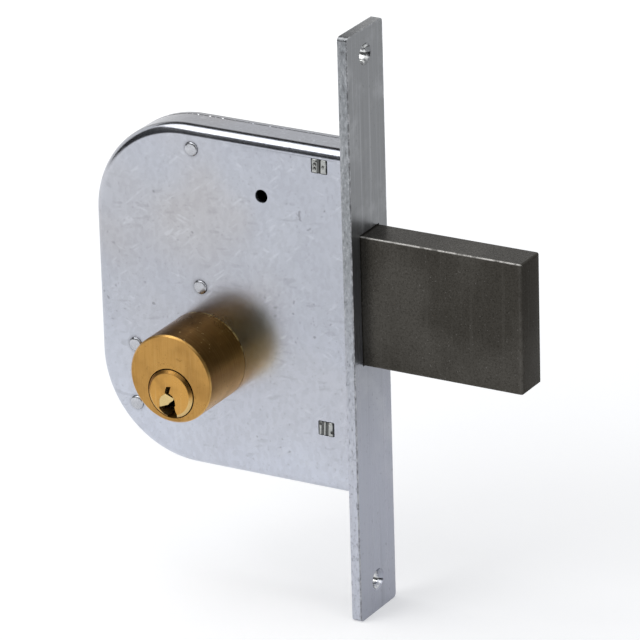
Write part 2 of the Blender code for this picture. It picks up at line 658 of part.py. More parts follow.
def make_idler(steel):
    pivot = (idler_x, 0.0, idler_z)
    bm = bmesh.new()
    add_prism(bm, gear_outline(idler_x, idler_z, IDLER_TEETH, math.pi / 2), gear_y0, gear_y1)
    wheel = solid("idler_gear", bm, steel, pivot, smooth=False)

    def bore(cut):
        add_prism(cut, circle(idler_x, idler_z, STUD_R + RUN, 24), gear_y0 - 1 * MM, gear_y1 + 1 * MM)

    combine(wheel, "DIFFERENCE", cutter("idler_bore", bore))

    reach = half_case + STAKE_PROUD
    collar = half_case - SHEET - FIT
    nose = gear_y0 - 1.6 * MM
    groove = STUD_R - 0.7 * MM
    profile = [(0.0, nose), (STUD_R - 0.3 * MM, nose), (STUD_R, nose + 0.3 * MM), (STUD_R, gear_y0 - 1.0 * MM),
               (groove, gear_y0 - 1.0 * MM), (groove, gear_y0 - 0.3 * MM), (STUD_R, gear_y0 - 0.3 * MM),
               (STUD_R, gear_y1 + GAP), (STUD_R + 2.0 * MM, gear_y1 + GAP), (STUD_R + 2.0 * MM, collar),
               (STAKE_R, collar), (STAKE_R, reach - 0.3 * MM), (STAKE_R - 0.3 * MM, reach), (0.0, reach)]
    solid("idler_stud", add_turned(bmesh.new(), profile, idler_x, idler_z, steps=24), steel)

    ring = bmesh.new()
    inner, outer = groove + FIT, STUD_R + 1.6 * MM
    arc = [math.radians(-60 + 300 * k / 20) for k in range(21)]
    add_prism(ring, [(idler_x + outer * math.cos(a), idler_z + outer * math.sin(a)) for a in arc]
              + [(idler_x + inner * math.cos(a), idler_z + inner * math.sin(a)) for a in reversed(arc)],
              gear_y0 - 0.9 * MM, gear_y0 - 0.4 * MM)
    solid("idler_ring", ring, steel, smooth=False)


def make_brake_spring(spring_steel):
    """A leaf hooked over the top post, its foot on the bolt's upper edge."""
    x, z = spring_post
    r = POST_R + FIT + LEAF_THICK / 2
    foot_x = case_open_x - BRACKET_REACH - 2 * LEAF_TOE
    foot_z = BOLT_TOP + FIT + LEAF_THICK / 2
    path = [(x + r * math.cos(math.radians(a)), z + r * math.sin(math.radians(a))) for a in range(250, 60, -15)]
    path += [(x + LEAF_KNEE, z - LEAF_TOE_RISE + r / 2), (foot_x - LEAF_KNEE, z - LEAF_DROP),
             (foot_x - LEAF_ELBOW, z - LEAF_ELBOW), (foot_x - LEAF_TOE * 0.75, foot_z + LEAF_TOE * 1.25),
             (foot_x, foot_z), (foot_x + LEAF_TOE, foot_z + LEAF_TOE_RISE)]
    left, right = [], []
    for k, (px, pz) in enumerate(path):
        a = Vector(path[max(k - 1, 0)])
        b = Vector(path[min(k + 1, len(path) - 1)])
        along = (b - a).normalized()
        side = Vector((-along.y, along.x)) * LEAF_THICK / 2
        left.append((px + side.x, pz + side.y))
        right.append((px - side.x, pz - side.y))
    bm = add_prism(bmesh.new(), left + right[::-1], -LEAF_WIDE / 2, LEAF_WIDE / 2)
    solid("brake_spring", bm, spring_steel)


def build():
    clear_scene()
    plated = finish("plated_face", (0.42, 0.43, 0.45), 0.38, 1.0)
    zinc = finish("zinc_sheet", (0.62, 0.64, 0.68), 0.36, 1.0)
    blackened = finish("blackened_steel", (0.075, 0.068, 0.06), 0.46, 0.7)
    brass = finish("brass", (0.66, 0.47, 0.19), 0.28, 1.0)
    steel = finish("bright_steel", (0.56, 0.57, 0.58), 0.32, 1.0)
    spring_steel = finish("spring_steel", (0.30, 0.31, 0.33), 0.30, 1.0)

    make_faceplate(plated)
    make_case(zinc)
    make_bolt(blackened)
    make_post("spring_post", spring_post, POST_R, steel)
    make_post("guide_post", guide_post, GUIDE_POST_R, steel)
    make_post("upper_back_post", upper_back_post, POST_R, steel)
    make_post("lower_back_post", lower_back_post, POST_R, steel)
    make_bracket("upper_bracket", BOLT_TOP + GAP, CASE_TOP - BEND_R - FIT, tenon_upper_z, steel)
    make_bracket("lower_bracket", tenon_lower_z - BRACKET_HEEL, BOLT_BOTTOM - GAP, tenon_lower_z, steel)
    make_cylinder(brass, steel)
    make_plug(brass, steel)
    make_pins(brass, steel, spring_steel)
    make_idler(steel)
    make_brake_spring(spring_steel)


build()
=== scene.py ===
import json
import math
import random

import bmesh
import bpy
from mathutils import Matrix, Vector


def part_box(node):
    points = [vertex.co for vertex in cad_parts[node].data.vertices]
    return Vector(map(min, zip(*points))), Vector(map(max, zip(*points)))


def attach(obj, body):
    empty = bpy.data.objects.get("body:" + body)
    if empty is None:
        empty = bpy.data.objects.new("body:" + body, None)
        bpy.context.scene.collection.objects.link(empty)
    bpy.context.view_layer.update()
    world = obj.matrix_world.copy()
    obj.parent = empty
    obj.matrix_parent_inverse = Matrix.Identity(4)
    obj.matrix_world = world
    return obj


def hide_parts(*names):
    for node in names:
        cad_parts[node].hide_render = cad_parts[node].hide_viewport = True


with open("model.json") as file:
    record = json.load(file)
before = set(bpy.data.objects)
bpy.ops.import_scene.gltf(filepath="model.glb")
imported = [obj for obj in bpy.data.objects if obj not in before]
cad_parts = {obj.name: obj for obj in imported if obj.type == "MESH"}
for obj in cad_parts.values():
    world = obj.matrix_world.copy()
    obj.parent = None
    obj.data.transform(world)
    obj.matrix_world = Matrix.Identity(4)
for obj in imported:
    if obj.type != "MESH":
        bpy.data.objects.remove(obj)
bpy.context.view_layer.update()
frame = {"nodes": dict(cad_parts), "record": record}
mm = 0.001

# Places and reaches that the finishes and the finer meshes share. The case is drawn to these, which fit the
# photograph a little closer than its solid does.
size = {"back": -84.5 * mm, "top": 68.0 * mm, "bottom": -34.0 * mm, "corner": 30 * mm, "bend": 3.0 * mm,
        "sheet": 1.2 * mm, "open": -3.3 * mm, "front": -7 * mm, "rear": 7 * mm, "seam": 2.9 * mm,
        "hole": (-30 * mm, 51.1 * mm), "holeR": 1.9 * mm, "stakeHole": 2.05 * mm, "spigotHole": 9.1 * mm,
        "screwHole": 1.4 * mm, "cylX": -50 * mm, "cylR": 13 * mm, "cylFront": -26 * mm, "plugZ": -4.3 * mm,
        "plugFront": -26.9 * mm}


# A shader socket that can be used in a sum or a product of values.
class Wire:
    def __init__(self, finish, socket):
        self.finish, self.socket = finish, socket

    def op(self, kind, other=None, flip=False):
        if other is None:
            return self.finish.node("ShaderNodeMath", {"operation": kind}, {0: self})
        a, b = (other, self) if flip else (self, other)
        return self.finish.node("ShaderNodeMath", {"operation": kind}, {0: a, 1: b})

    def __add__(self, o): return self.op("ADD", o)
    def __radd__(self, o): return self.op("ADD", o, True)
    def __sub__(self, o): return self.op("SUBTRACT", o)
    def __rsub__(self, o): return self.op("SUBTRACT", o, True)
    def __mul__(self, o): return self.op("MULTIPLY", o)
    def __rmul__(self, o): return self.op("MULTIPLY", o, True)
    def __abs__(self): return self.op("ABSOLUTE")


class Finish:
    def __init__(self, name, colour, roughness, metallic):
        self.mat = bpy.data.materials.new(name)
        self.mat.use_nodes = True
        self.tree = self.mat.node_tree
        self.shader = next(n for n in self.tree.nodes if n.type == "BSDF_PRINCIPLED")
        self.set("Base Color", (*colour, 1.0))
        self.set("Roughness", roughness)
        self.set("Metallic", metallic)
        self.coords = self.node("ShaderNodeTexCoord", {}, {}, "Object")
        split = self.node("ShaderNodeSeparateXYZ", {}, {"Vector": self.coords}, "X")
        self.x, self.y, self.z = (Wire(self, split.socket.node.outputs[k]) for k in "XYZ")

    def node(self, kind, settings, inputs, out=0):
        made = self.tree.nodes.new(kind)
        for key, value in settings.items():
            setattr(made, key, value)
        for key, value in inputs.items():
            if isinstance(value, Wire):
                self.tree.links.new(value.socket, made.inputs[key])
            else:
                made.inputs[key].default_value = value
        return Wire(self, made.outputs[out])

    def set(self, name, value):
        if isinstance(value, Wire):
            self.tree.links.new(value.socket, self.shader.inputs[name])
        else:
            self.shader.inputs[name].default_value = value

    def mark(self, name):
        return self.node("ShaderNodeAttribute", {"attribute_name": name}, {}, "Fac")

    def noise(self, scale, detail=3.0, rough=0.55, stretch=(1, 1, 1), turn=(0, 0, 0), shift=(0, 0, 0),
              warp=0.0):
        place = self.node("ShaderNodeMapping", {"vector_type": "TEXTURE"},
                          {"Vector": self.coords, "Scale": tuple(1 / s for s in stretch), "Rotation": turn,
                           "Location": shift})
        return self.node("ShaderNodeTexNoise", {}, {"Vector": place, "Scale": scale, "Detail": detail,
                                                    "Roughness": rough, "Distortion": warp})

    def cells(self, scale, stretch):
        place = self.node("ShaderNodeMapping", {}, {"Vector": self.coords, "Scale": stretch})
        return self.node("ShaderNodeTexVoronoi", {}, {"Vector": place, "Scale": scale}, "Color")

    def band(self, value, low, high, to0=0.0, to1=1.0):
        return self.node("ShaderNodeMapRange", {"interpolation_type": "SMOOTHSTEP"},
                         {"Value": value, "From Min": low, "From Max": high, "To Min": to0, "To Max": to1})

    def near(self, value, at, width):
        return self.band(abs(value - at), width, 0.0)

    def mix(self, factor, a, b, how="MIX"):
        colours = [c if isinstance(c, Wire) else (*c, 1.0) for c in (a, b)]
        return self.node("ShaderNodeMix", {"data_type": "RGBA", "blend_type": how},
                         {0: factor, 6: colours[0], 7: colours[1]}, 2)

    # Up to a share of the tint, as the value goes from low to high.
    def shade(self, colour, tint, value, low, high, share=1.0):
        return self.mix(self.band(value, low, high, 0.0, share), colour, tint)

    # A roughness that wavers around its base with a noise.
    def uneven(self, value, base, below, above):
        return self.band(value, 0.3, 0.7, base - below, base + above)

    def away(self, centre, axes):
        gap = self.node("ShaderNodeVectorMath", {"operation": "SUBTRACT"}, {0: self.coords, 1: centre})
        flat = self.node("ShaderNodeVectorMath", {"operation": "MULTIPLY"}, {0: gap, 1: axes})
        return self.node("ShaderNodeVectorMath", {"operation": "LENGTH"}, {0: flat}, "Value")

    def radius(self, x, z):
        return self.away((x, 0, z), (1, 0, 1))

    def bump(self, height, distance, strength):
        self.set("Normal", self.node("ShaderNodeBump", {}, {"Height": height, "Distance": distance,
                                                            "Strength": strength}))

    # Sparse fine scratches across an upright face, turned about Y.
    def hair(self, scale, turn, thin, low, high, shift=(0, 0, 0)):
        lines = self.noise(scale, 0.0, 0.5, (1, 1, thin), (0, turn, 0), shift, 0.1)
        where = self.noise(scale * 0.12, 2.0, 0.5, shift=shift)
        return self.band(lines, low, high) * self.band(where, 0.48, 0.58)

    def edges(self, low, high, width):
        masks = [self.band((v - a).op("MINIMUM", b - v), width, 0.0)
                 for v, a, b in zip((self.x, self.y, self.z), low, high)]
        x, y, z = masks
        return (x * y).op("MAXIMUM", y * z).op("MAXIMUM", x * z)


print("finishes")
boxOf = {n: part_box(n) for n in frame["nodes"]}
bodyOf = {n: b for b, ns in frame["record"]["behaviour"]["bodies"].items() for n in ns}


def middle(node):
    low, high = boxOf[node]
    return (low[0] + high[0]) / 2, (low[2] + high[2]) / 2


postPlaces = [middle(n) for n in ("spring_post", "guide_post", "upper_back_post", "lower_back_post")]
zincLook = {"cool": (0.412, 0.428, 0.478), "warm": (0.420, 0.412, 0.425), "low": (0.550, 0.577, 0.655),
            "spot": (0.15, 0.15, 0.155), "light": (0.60, 0.62, 0.66), "joint": (0.05, 0.05, 0.052),
            "paintedGlint": (0.92, 0.93, 0.95), "paintedReflectionTint": (0.94, 0.98, 0.67), "roughness": 0.24, "bendRoughness": 0.19,
            "metallic": 0.96, "paintedLightBelowFrom": (0.03, -0.035), "warmShare": (0.25, 0.9), "clouds": 0.16,
            "grain": 0.10, "specks": 0.45, "pits": 0.25, "wallPaintedShade": 0.25, "wallFrom": (-5.0 * mm, -4.2 * mm),
            "wallTo": (6.9 * mm, 5.0 * mm), "marks": 0.20, "dull": 0.13, "jointAndCreaseShadeShare": 0.85,
            "paintedGlintAt": 0.2 * mm, "paintedGlintWide": 0.5 * mm, "paintedReflectionAt": (13.5 * mm, 7.5 * mm),
            "paintedReflectionReach": (14 * mm, 3 * mm), "paintedReflection": 0.8, "headRingAt": 2.0 * mm, "headRingWide": 1.1 * mm,
            "headRing": (0.15, 0.45), "bump": (0.00003, 0.5)}


def zincSheet():
    k = zincLook
    f = Finish("zincSheet", k["cool"], k["roughness"], k["metallic"])
    cloud, broad = f.noise(60, 4.0, 0.6, turn=(0.4, 0.7, 0.2)), f.noise(17, 2.0, 0.5, turn=(0.5, 0.6, 0.3))
    # Painted light: the sheet turns to the paler, bluer low colour towards the bottom, as if lit from below.
    colour = f.shade(k["cool"], k["low"], f.z, *k["paintedLightBelowFrom"])
    warm = f.band(broad, 0.44, 0.62) * f.band(f.z, 0.0, 0.05, *k["warmShare"])
    colour = f.mix(warm, colour, k["warm"])
    colour = f.shade(colour, k["light"], cloud, 0.35, 0.70, k["clouds"])
    grain = f.cells(900, (1, 1, 0.7))
    colour = f.shade(colour, k["spot"], grain, 0.2, 0.9, k["grain"])
    speck = f.band(f.noise(520, 1.0), 0.70, 0.76) * f.band(f.noise(45, 1.0, shift=(1, 2, 3)), 0.50, 0.60)
    pits = f.band(f.noise(1400, 0.0), 0.74, 0.80)
    colour = f.mix((speck * k["specks"]).op("MAXIMUM", pits * k["pits"]), colour, k["spot"])
    # Painted shade: the case's walls between its front and back faces are darkened with the speck colour.
    wall = f.band(f.y, *k["wallFrom"], 0.0, k["wallPaintedShade"]) * f.band(f.y, *k["wallTo"])
    colour = f.mix(wall, colour, k["spot"])
    marks = f.hair(1500, 0.9, 0.14, 0.70, 0.75) + f.hair(1300, -1.2, 0.14, 0.70, 0.75, (2, 0, 1))
    dull = f.hair(900, 1.45, 0.2, 0.68, 0.74, (5, 1, 1))
    colour = f.mix(marks * k["marks"], colour, k["light"])
    colour = f.mix(dull * k["dull"], colour, k["spot"])
    bend, seam = f.mark("bend"), f.mark("seam")
    glint = f.band(f.noise(500, 2.0, 0.6, shift=(4, 4, 4)), 0.60, 0.68)
    # The seam mark darkens the real joint at the lip and, as painted shade, the crease where the bend meets the
    # wall.
    colour = f.mix(seam * f.band(glint, 0.0, 1.0, k["jointAndCreaseShadeShare"], 0.0), colour, k["joint"])
    # Painted highlight: bright glints dotted along the wall just behind the seam.
    paintedGlint = f.near(f.y, size["seam"] + k["paintedGlintAt"], k["paintedGlintWide"])
    paintedGlint = paintedGlint * f.band(f.noise(620, 2.0, 0.6, shift=(9, 4, 4)), 0.56, 0.62)
    colour = f.mix(paintedGlint * f.band(broad, 0.44, 0.56), colour, k["paintedGlint"])
    # Painted reflection: the sheet up and to the right of the cylinder is tinted olive, like the brass reflected
    # in it.
    paintedReflectionX, paintedReflectionZ = k["paintedReflectionAt"]
    paintedReflection = f.band(f.radius(size["cylX"] + paintedReflectionX, paintedReflectionZ), *k["paintedReflectionReach"], 0.0, k["paintedReflection"])
    colour = f.mix(paintedReflection, colour, f.mix(1.0, colour, k["paintedReflectionTint"], "MULTIPLY"))
    # A darker ring round each stake head, made uneven by the broad noise.
    for place in postPlaces:
        headRing = f.near(f.radius(*place), k["headRingAt"], k["headRingWide"]) * f.band(broad, 0.35, 0.6, *k["headRing"])
        colour = f.mix(headRing, colour, k["spot"])
    f.set("Base Color", colour)
    rough = f.uneven(cloud, k["roughness"], 0.015, 0.03) - marks * 0.05
    f.set("Roughness", rough - bend * (k["roughness"] - k["bendRoughness"]))
    f.bump(cloud * 0.25 + grain * 0.10 - speck * 0.3 - marks * 0.05, *k["bump"])
    return f.mat


faceLook = {"dark": (0.182, 0.188, 0.195), "low": (0.360, 0.375, 0.435), "side": (0.250, 0.262, 0.275),
            "sidePaintedLightBelow": (0.520, 0.540, 0.610), "pale": (0.50, 0.51, 0.53), "black": (0.06, 0.06, 0.062),
            "white": (0.72, 0.74, 0.78), "bright": (0.70, 0.71, 0.70), "roughness": 0.32, "metallic": 0.85,
            "paintedLightBelowFrom": (0.045, -0.035), "sideFrom": (-9.6 * mm, -9.9 * mm), "brushed": 0.34, "streaks": 0.16,
            "clouds": 0.25, "specks": 0.22, "shearedFrom": (-9.5 * mm, -9.8 * mm), "tornPale": 0.30,
            "tornDark": 0.50, "frontEdge": (-0.15 * mm, 0.40 * mm), "frontEdgeShare": (0.35, 0.8),
            "sinkIn": (7.6 * mm, 9.4 * mm), "sinkReach": (3.3 * mm, 3.1 * mm),
            "sinkDepth": (-0.04 * mm, -0.12 * mm), "shineReach": (3.0 * mm, 2.4 * mm), "sinkPolish": 0.20,
            "rim": 0.7 * mm, "rimPale": 0.6, "rimDark": 0.5, "bump": (0.00005, 0.5)}


def faceSteel():
    k = faceLook
    low, high = boxOf["faceplate"]
    f = Finish("faceSteel", k["dark"], k["roughness"], k["metallic"])
    # Painted light: the outer face and the side both turn to their paler low colours towards the bottom, as if
    # lit from below.
    paintedLightFall = f.band(f.z, *k["paintedLightBelowFrom"])
    outer, side = f.mix(paintedLightFall, k["dark"], k["low"]), f.mix(paintedLightFall, k["side"], k["sidePaintedLightBelow"])
    colour = f.shade(outer, side, f.y, *k["sideFrom"])
    brushed = f.noise(900, 3.0, 0.65, (1, 1, 0.012))
    wide = f.noise(260, 3.0, 0.6, (1, 1, 0.02), shift=(1, 4, 2))
    colour = f.shade(colour, k["pale"], brushed, 0.50, 0.78, k["brushed"])
    colour = f.shade(colour, k["black"], wide, 0.54, 0.72, k["streaks"])
    colour = f.shade(colour, k["pale"], f.noise(70, 4.0, 0.6), 0.50, 0.75, k["clouds"])
    speck = f.band(f.noise(900, 1.0, shift=(7, 3, 1)), 0.66, 0.73)
    colour = f.mix(speck * k["specks"], colour, k["black"])
    sheared = f.band(f.y, *k["shearedFrom"])
    torn = f.noise(1100, 4.0, 0.75, (1, 1, 0.45), shift=(2, 2, 9))
    colour = f.mix(sheared * f.band(torn, 0.50, 0.66, 0.0, k["tornPale"]), colour, k["white"])
    colour = f.mix(sheared * f.band(torn, 0.47, 0.36, 0.0, k["tornDark"]), colour, k["black"])
    frontEdge = f.near(f.x, *k["frontEdge"]) * f.band(torn, 0.70, 0.40, *k["frontEdgeShare"])
    colour = f.mix(sheared * frontEdge, colour, k["black"])
    topSink, lowSink = k["sinkIn"]
    topGap, lowGap = (f.away((0, 0, z), (0, 1, 1)) for z in (high[2] - topSink, low[2] + lowSink))
    reach = topGap.op("MINIMUM", lowGap)
    sunk = f.band(reach, *k["sinkReach"]) * f.band(f.x, *k["sinkDepth"])
    # Painted highlight, partly the paler cut steel: a bright, broken ring on the countersinks.
    shine = f.band(reach, *k["shineReach"]) * f.band(f.noise(520, 2.0, 0.6), 0.40, 0.56)
    colour = f.mix(sunk * shine, colour, k["bright"])
    rim, worn = f.edges(low, high, k["rim"]), f.noise(380, 4.0, 0.75)
    colour = f.mix(rim * f.band(worn, 0.46, 0.64) * k["rimPale"], colour, k["pale"])
    colour = f.mix(rim * f.band(worn, 0.42, 0.30) * k["rimDark"], colour, k["black"])
    f.set("Base Color", colour)
    f.set("Roughness", f.uneven(brushed, k["roughness"], 0.06, 0.10) - sunk * k["sinkPolish"])
    f.bump(brushed + wide * 0.6 - speck * 0.5 + rim * worn * 0.8, *k["bump"])
    return f.mat


boltLook = {"base": (0.053, 0.049, 0.042), "lift": (0.079, 0.074, 0.065), "black": (0.0155, 0.0130, 0.0095),
            "wear": (0.22, 0.21, 0.20), "bright": (0.72, 0.70, 0.66), "roughness": 0.30, "metallic": 0.62,
            "endFrom": (0.6 * mm, 0.2 * mm), "endPaintedShade": 0.12, "endMatt": 0.75, "endRim": 0.8, "grain": 0.46,
            "lines": 0.35, "specks": 0.35, "rim": 0.42 * mm, "topEdgeWearAndHighlightIn": 0.1 * mm, "topEdgeWearAndHighlight": 0.38 * mm,
            "chamferIn": 0.8 * mm, "chamferLong": 1.0 * mm, "chamferWide": 0.9 * mm, "chamfer": 0.12,
            "bump": (0.00006, 0.7)}


def boltSteel():
    k = boltLook
    low, high = boxOf["bolt"]
    f = Finish("boltSteel", k["base"], k["roughness"], k["metallic"])
    f.set("Specular IOR Level", 0.0)
    fine = f.noise(1700, 4.0, 0.7)
    lines = f.noise(700, 2.0, 0.6, (1, 1, 0.03))
    colour = f.shade(k["base"], k["lift"], f.noise(38, 3.0, shift=(2, 2, 0)), 0.38, 0.64)
    # Painted shade: the bolt's end face is darkened towards black.
    end = f.band(f.x, *(high[0] - inset for inset in k["endFrom"]))
    colour = f.mix(end * k["endPaintedShade"], colour, k["black"])
    colour = f.shade(colour, k["black"], fine, 0.42, 0.70, k["grain"])
    colour = f.shade(colour, k["lift"], lines, 0.54, 0.72, k["lines"])
    speck = f.band(f.noise(1500, 1.0, shift=(3, 3, 3)), 0.70, 0.76)
    colour = f.mix(speck * k["specks"], colour, k["wear"])
    rim = f.edges(low, high, k["rim"]) * (1 - end * k["endRim"])
    broken = f.noise(420, 3.0, 0.7, shift=(0, 5, 1))
    # A pale, broken line along the top front edge: partly a worn edge, partly a painted highlight.
    topEdgeWearAndHighlight = f.near(f.z, high[2] - k["topEdgeWearAndHighlightIn"], k["topEdgeWearAndHighlight"])
    topEdgeWearAndHighlight = topEdgeWearAndHighlight * f.near(f.y, low[1] + k["topEdgeWearAndHighlightIn"], k["topEdgeWearAndHighlight"])
    colour = f.mix(rim * f.band(broken, 0.40, 0.62, 0.08, 0.45), colour, k["wear"])
    colour = f.mix(topEdgeWearAndHighlight * f.band(broken, 0.36, 0.58, 0.25, 1.0), colour, k["bright"])
    chamfer = f.near(f.x, high[0] - k["chamferIn"], k["chamferLong"]) * f.near(f.y, low[1], k["chamferWide"])
    colour = f.mix(chamfer * f.band(broken, 0.35, 0.62, 0.0, k["chamfer"]), colour, k["wear"])
    f.set("Base Color", colour)
    f.set("Metallic", k["metallic"] * (1 - end * k["endMatt"]))
    f.set("Roughness", f.uneven(fine, k["roughness"], 0.05, 0.10) - rim * 0.08)
    f.bump(fine + lines * 0.5 - speck * 0.4, *k["bump"])
    return f.mat


brassLook = {"face": (0.450, 0.245, 0.066), "flank": (0.25, 0.125, 0.028), "flankPaintedLight": (0.80, 0.44, 0.10),
             "dark": (0.18, 0.085, 0.018), "pale": (0.58, 0.37, 0.13), "bareAndHighlight": (0.90, 0.66, 0.28),
             "roughness": 0.30, "metallic": 0.92, "frontFrom": (0.6 * mm, 0.2 * mm),
             "flankPaintedLightFrom": (1.5 * mm, -8 * mm), "clouds": 0.30, "brushPale": 0.22, "brushDark": 0.25,
             "rim": 0.5 * mm, "rimFrom": (0.9 * mm, 0.3 * mm), "rimShare": (0.1, 0.7), "spots": 0.35,
             "baseHighlightAt": 0.16 * mm, "baseHighlightWide": 0.42 * mm, "baseHighlightFrom": (1.5 * mm, 6 * mm), "baseHighlight": 0.75,
             "fleckFrom": (4 * mm, 11 * mm), "fleck": 0.7, "bareAndHighlightMatt": 0.85, "bump": (0.00004, 0.6)}


def cylinderBrass():
    k = brassLook
    f = Finish("cylinderBrass", k["face"], k["roughness"], k["metallic"])
    front = f.band(f.y, *(size["cylFront"] + depth for depth in k["frontFrom"]))
    # Painted shade and light: the flank is dark brown on top and golden underneath.
    colour = f.mix(front, f.shade(k["flank"], k["flankPaintedLight"], f.z, *k["flankPaintedLightFrom"]), k["face"])
    upright = f.noise(2200, 3.0, 0.65, (1, 0.02, 0.035))
    turned = f.noise(2400, 3.0, 0.6, (0.012, 1, 0.012))
    grain = f.node("ShaderNodeMix", {"data_type": "FLOAT"}, {0: front, 2: turned, 3: upright})
    cloud = f.noise(95, 4.0, 0.6)
    colour = f.shade(colour, k["dark"], cloud, 0.42, 0.70, k["clouds"])
    colour = f.shade(colour, k["pale"], grain, 0.48, 0.74, k["brushPale"])
    colour = f.shade(colour, k["dark"], grain, 0.44, 0.28, k["brushDark"])
    rim = f.near(f.radius(size["cylX"], 0.0), size["cylR"], k["rim"])
    rim = rim * f.band(f.y, *(size["cylFront"] + depth for depth in k["rimFrom"]))
    colour = f.mix(rim * f.band(f.noise(300, 3.0, 0.6), 0.35, 0.6, *k["rimShare"]), colour, k["pale"])
    spots = f.band(f.noise(900, 2.0, shift=(2, 8, 1)), 0.64, 0.72)
    colour = f.mix(spots * k["spots"], colour, k["dark"])
    # Painted highlight: a pale, broken line round the cylinder's base where it meets the case; the flecks below
    # are real bare spots.
    baseHighlight = f.near(f.y, size["front"] - k["baseHighlightAt"], k["baseHighlightWide"]) * f.band(f.noise(420, 3.0, 0.7), 0.42, 0.58)
    baseHighlight = baseHighlight * f.band(f.z, *k["baseHighlightFrom"], 0.0, k["baseHighlight"])
    fleck = f.band(f.noise(1300, 1.0, shift=(4, 4, 4)), 0.70, 0.76) * (1 - front) * f.band(f.z, *k["fleckFrom"])
    bareAndHighlight = baseHighlight.op("MAXIMUM", fleck * k["fleck"])
    colour = f.mix(bareAndHighlight, colour, k["bareAndHighlight"])
    f.set("Base Color", colour)
    f.set("Metallic", k["metallic"] - bareAndHighlight * k["bareAndHighlightMatt"])
    f.set("Roughness", f.uneven(cloud, k["roughness"], 0.05, 0.10))
    f.bump(grain + cloud * 0.4 - spots * 0.4, *k["bump"])
    return f.mat


plugLook = {"face": (0.545, 0.290, 0.072), "dark": (0.17, 0.085, 0.02), "pale": (0.66, 0.50, 0.23),
            "deep": (0.10, 0.06, 0.02), "roughness": 0.30, "metallic": 0.92, "clouds": 0.35, "brushed": 0.25,
            "ringFrom": (6.1 * mm, 6.3 * mm), "ringFall": (1 * mm, 2 * mm), "ringPaintedShade": 0.75, "ringPaintedLight": 0.7,
            "innerFrom": (6.2 * mm, 6.0 * mm), "facetFrom": (0.05 * mm, 0.15 * mm),
            "facetTo": (2.0 * mm, 1.5 * mm), "facetPolish": 0.08, "keywayShadeFrom": (1.5 * mm, 3.2 * mm),
            "boreShadeFrom": (7.0 * mm, 7.15 * mm), "boreShadeDepth": (0.6 * mm, 0.9 * mm), "bump": (0.00003, 0.6)}


def plugBrass():
    k = plugLook
    f = Finish("plugBrass", k["face"], k["roughness"], k["metallic"])
    upright = f.noise(2200, 3.0, 0.65, (1, 0.02, 0.035), shift=(4, 0, 0))
    cloud = f.noise(140, 4.0, 0.6)
    r = f.radius(size["cylX"], size["plugZ"])
    depth = f.y - size["plugFront"]
    colour = f.shade(k["face"], k["dark"], cloud, 0.45, 0.72, k["clouds"])
    colour = f.shade(colour, k["pale"], upright, 0.50, 0.76, k["brushed"])
    under, over = k["ringFall"]
    # Painted shade and light: the chamfer ring is darkened on its upper half and paled on its lower half.
    ring = f.band(r, *k["ringFrom"])
    upper = ring * f.band(f.z, size["plugZ"] - under, size["plugZ"] + over)
    lower = ring * f.band(f.z, size["plugZ"] + under, size["plugZ"] - over)
    colour = f.mix(upper * k["ringPaintedShade"], colour, k["dark"])
    colour = f.mix(lower * k["ringPaintedLight"], colour, k["pale"])
    inner = f.band(r, *k["innerFrom"])
    facet = inner * f.band(depth, *k["facetFrom"]) * f.band(depth, *k["facetTo"])
    colour = f.mix(facet, colour, k["pale"])
    # Painted shade: the keyway and the gap round the plug are darkened deeper in.
    colour = f.mix(inner * f.band(depth, *k["keywayShadeFrom"]), colour, k["deep"])
    colour = f.mix(f.band(r, *k["boreShadeFrom"]) * f.band(depth, *k["boreShadeDepth"]), colour, k["deep"])
    f.set("Base Color", colour)
    f.set("Roughness", f.uneven(cloud, k["roughness"], 0.06, 0.08) - facet * k["facetPolish"])
    f.bump(upright + cloud * 0.3, *k["bump"])
    return f.mat


metalLook = {"grain": 0.35, "rings": 0.40, "clouds": 0.30, "cloudTone": 0.5, "paintedShadeTone": 0.32,
             "ringsAcross": (0.05, 1, 0.05), "ringsAlong": (0.05, 0.05, 1), "bump": (0.00004, 0.5)}


def turnedMetal(name, base, light, roughness, metallic=0.85, rings="ringsAcross", deep=False):
    k = metalLook
    f = Finish(name, base, roughness, metallic)
    grain, lines = f.noise(900, 3.0, 0.6), f.noise(1400, 2.0, 0.6, k[rings])
    colour = f.shade(base, light, grain, 0.40, 0.72, k["grain"])
    colour = f.shade(colour, light, lines, 0.50, 0.75, k["rings"])
    colour = f.shade(colour, [c * k["cloudTone"] for c in base], f.noise(160, 3.0), 0.45, 0.72, k["clouds"])
    if deep:
        # Painted shade: where the deep mark is set, in the dents and on the sides of the tenon ends, the colour
        # is darkened.
        colour = f.mix(f.mark("deep"), colour, [c * k["paintedShadeTone"] for c in base])
    f.set("Base Color", colour)
    f.set("Roughness", f.uneven(grain, roughness, 0.06, 0.08))
    f.bump(lines + grain * 0.5, *k["bump"])
    return f.mat


zinc, face, bolt, brass, plug = zincSheet(), faceSteel(), boltSteel(), cylinderBrass(), plugBrass()
pinBrass = turnedMetal("pinBrass", (0.62, 0.44, 0.17), (0.80, 0.66, 0.36), 0.25, 0.92, "ringsAlong")
driverSteel = turnedMetal("driverSteel", (0.48, 0.49, 0.51), (0.72, 0.73, 0.75), 0.26, 0.9, "ringsAlong")
stakeSteel = turnedMetal("stakeSteel", (0.44, 0.45, 0.48), (0.66, 0.67, 0.70), 0.25, 0.95)
tenonSteel = turnedMetal("tenonSteel", (0.37, 0.38, 0.37), (0.62, 0.63, 0.61), 0.30, 0.95, deep=True)
gearSteel = turnedMetal("gearSteel", (0.36, 0.36, 0.37), (0.55, 0.55, 0.56), 0.36)
springSteel = turnedMetal("springSteel", (0.20, 0.205, 0.22), (0.42, 0.43, 0.46), 0.30)

